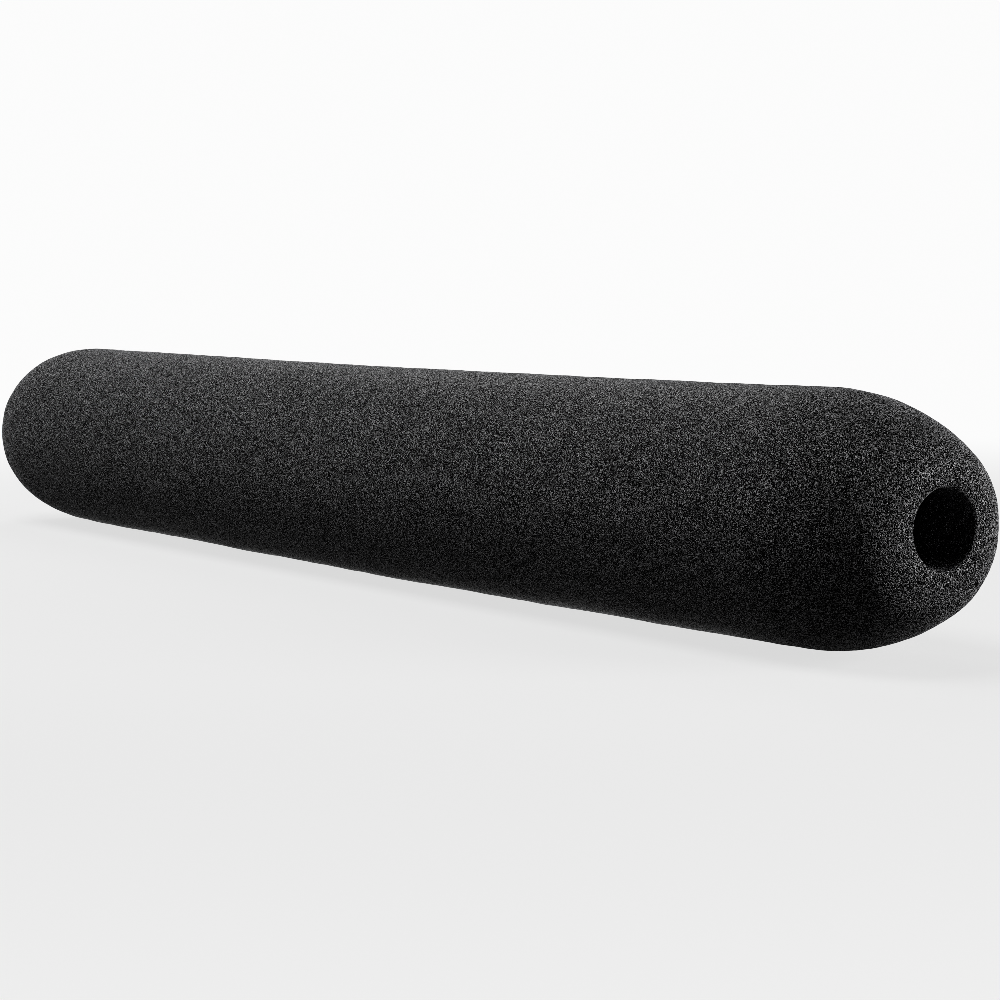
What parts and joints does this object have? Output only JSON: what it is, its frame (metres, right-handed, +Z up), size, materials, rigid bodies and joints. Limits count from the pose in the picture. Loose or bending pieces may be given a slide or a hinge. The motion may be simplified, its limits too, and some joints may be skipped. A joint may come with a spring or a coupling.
{
  "type": "microphone foam windscreen",
  "caption": "Long round foam windscreen with rounded ends, closed at the nose, and a central bore at the mouth that slides over a shotgun microphone.",
  "frame": {"origin": "on the bore axis, half way along the foam", "axes": "+X along the bore axis and out of the open mouth, the way the microphone leaves; the closed nose is at -X; +Z up with the windscreen lying level"},
  "size_m": [0.47, 0.062, 0.062],
  "materials": {
    "foam": "matte black open-cell foam, about 50 cells per inch",
    "plug_foam": "matte black open-cell foam, cut face",
    "collar_rubber": "satin black moulded rubber"
  },
  "bodies": {
    "root": {"foam_body": "foam", "nose_plug": "plug_foam", "grip_collar": "collar_rubber"}
  },
  "joints": []
}
